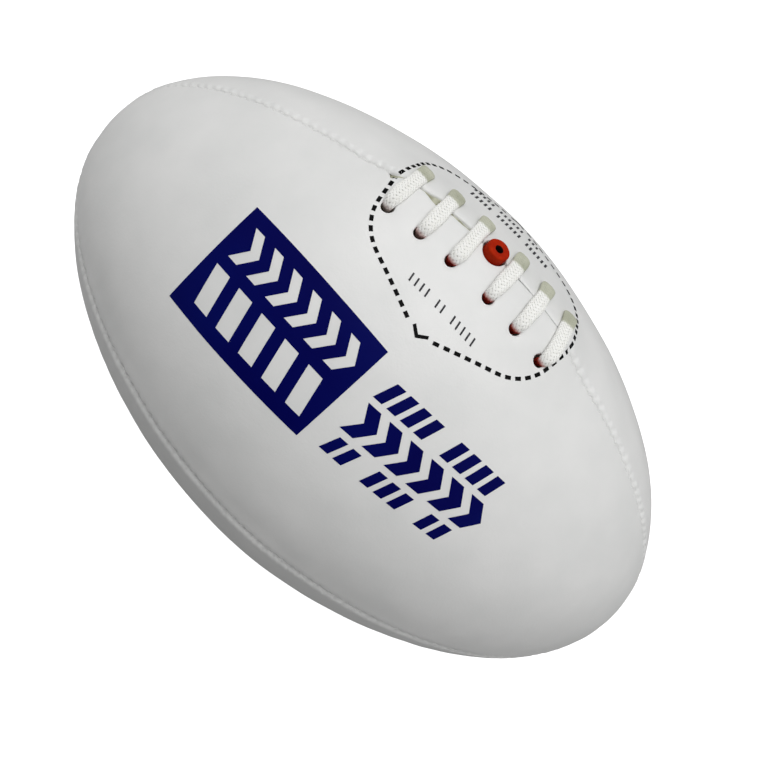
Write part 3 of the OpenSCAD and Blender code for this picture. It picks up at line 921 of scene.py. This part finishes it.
# ---------------------------------------------------------------- stage, light and camera
def floor():
    """A white floor that sweeps up into a wall all round, and leaves the ball's light alone."""
    base, flat, sweep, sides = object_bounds()[0].z, 2.6, 1.4, 96
    profile = [(0.6 * k, 0.0) for k in range(1, 4)] + [(flat, 0.0)]
    bends = np.linspace(0.08, math.pi / 2, 14)
    profile += [(flat + sweep * math.sin(a), sweep * (1 - math.cos(a))) for a in bends]
    profile.append((flat + sweep, 6.0))
    points = [(0, 0, base)]
    for r, z in profile:
        turns = np.linspace(0, 2 * math.pi, sides, endpoint=False)
        points += [(r * math.cos(a), r * math.sin(a), base + z) for a in turns]
    faces = [(0, 1 + k, 1 + (k + 1) % sides) for k in range(sides)]
    for ring in range(len(profile) - 1):
        a, b = 1 + ring * sides, 1 + (ring + 1) * sides
        faces += [(a + k, b + k, b + (k + 1) % sides, a + (k + 1) % sides) for k in range(sides)]
    mesh = bpy.data.meshes.new("floor")
    mesh.from_pydata(points, [], faces)
    mesh.shade_smooth()
    m = bpy.data.materials.new("floor_white")
    m.use_nodes = True
    shader = m.node_tree.nodes["Principled BSDF"]
    shader.inputs["Base Color"].default_value = (0.85, 0.85, 0.85, 1)
    shader.inputs["Roughness"].default_value = 1.0
    shader.inputs["Specular IOR Level"].default_value = 0.0
    shader.inputs["Emission Color"].default_value = (1, 1, 1, 1)
    shader.inputs["Emission Strength"].default_value = 0.85
    mesh.materials.append(m)
    piece = bpy.data.objects.new("floor", mesh)
    piece.visible_diffuse = False
    piece.visible_glossy = False
    piece.visible_shadow = False
    bpy.context.scene.collection.objects.link(piece)
    piece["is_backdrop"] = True


# Directions that light comes from, how tightly it is gathered, and its strength
SKY = (((1, 0, 0), 2, 0.39), ((-1, 0, 0), 2, 0.95), ((0, 1, 0), 2, 0.40), ((0, 0, -1), 2, 0.44))


def world_light():
    """Soft light from both ends, from the back and from below, made of broad glows."""
    world = bpy.data.worlds.new("studio")
    bpy.context.scene.world = world
    world.use_nodes = True
    nodes, links = world.node_tree.nodes, world.node_tree.links
    nodes.clear()
    where = nodes.new("ShaderNodeTexCoord").outputs["Generated"]
    total = None
    for towards, power, strength in SKY:
        facing = nodes.new("ShaderNodeVectorMath")
        facing.operation = "DOT_PRODUCT"
        facing.inputs[1].default_value = Vector(towards).normalized()
        links.new(where, facing.inputs[0])
        value = facing.outputs["Value"]
        for operation, amount in (("MAXIMUM", 0.0), ("POWER", power), ("MULTIPLY", strength), ("ADD", 0.0)):
            step = nodes.new("ShaderNodeMath")
            step.operation = operation
            step.inputs[1].default_value = amount
            links.new(value, step.inputs[0])
            value = step.outputs[0]
            if operation == "ADD" and total:
                links.new(total, step.inputs[1])
        total = value
    light = nodes.new("ShaderNodeBackground")
    links.new(total, light.inputs["Strength"])
    out = nodes.new("ShaderNodeOutputWorld")
    links.new(light.outputs[0], out.inputs[0])


def soft_box(name, towards, distance, size, energy):
    """An area light that looks at the ball from a direction."""
    light = bpy.data.lights.new(name, "AREA")
    light.shape = "SQUARE"
    light.size = size
    light.energy = energy
    lamp = bpy.data.objects.new(name, light)
    direction = Vector(towards).normalized()
    lamp.location = direction * distance
    lamp.rotation_euler = direction.to_track_quat("Z", "Y").to_euler()
    bpy.context.scene.collection.objects.link(lamp)


def camera():
    """Above the front of the ball, turned so that the ball lies on a slant."""
    lean, tilt, roll_turn, distance = 0.6451, -0.062, 0.8758, 3.5158 * mean_radius * MM
    back = Vector((math.sin(tilt), -math.cos(tilt) * math.sin(lean), math.cos(tilt) * math.cos(lean)))
    right = Vector((0, 0, 1)).cross(back).normalized()
    up = back.cross(right)
    turned_right = math.cos(roll_turn) * right + math.sin(roll_turn) * up
    turned_up = -math.sin(roll_turn) * right + math.cos(roll_turn) * up
    data = bpy.data.cameras.new("camera")
    data.sensor_width = 36
    data.lens = 34.055
    data.shift_x, data.shift_y = 0.0209, -0.0164
    data.clip_start = 0.01
    view = bpy.data.objects.new("camera", data)
    view.matrix_world = Matrix((
        (turned_right.x, turned_up.x, back.x, back.x * distance),
        (turned_right.y, turned_up.y, back.y, back.y * distance),
        (turned_right.z, turned_up.z, back.z, back.z * distance),
        (0, 0, 0, 1)))
    bpy.context.scene.collection.objects.link(view)
    bpy.context.scene.camera = view


floor()
world_light()
soft_box("top_key", (-0.03, -0.12, 1.0), 1.1, 1.0, 9.75)
soft_box("right_fill", (1.0, -0.6, 0.6), 1.1, 1.0, 2.1)
camera()
bpy.context.scene.view_settings.view_transform = "Standard"
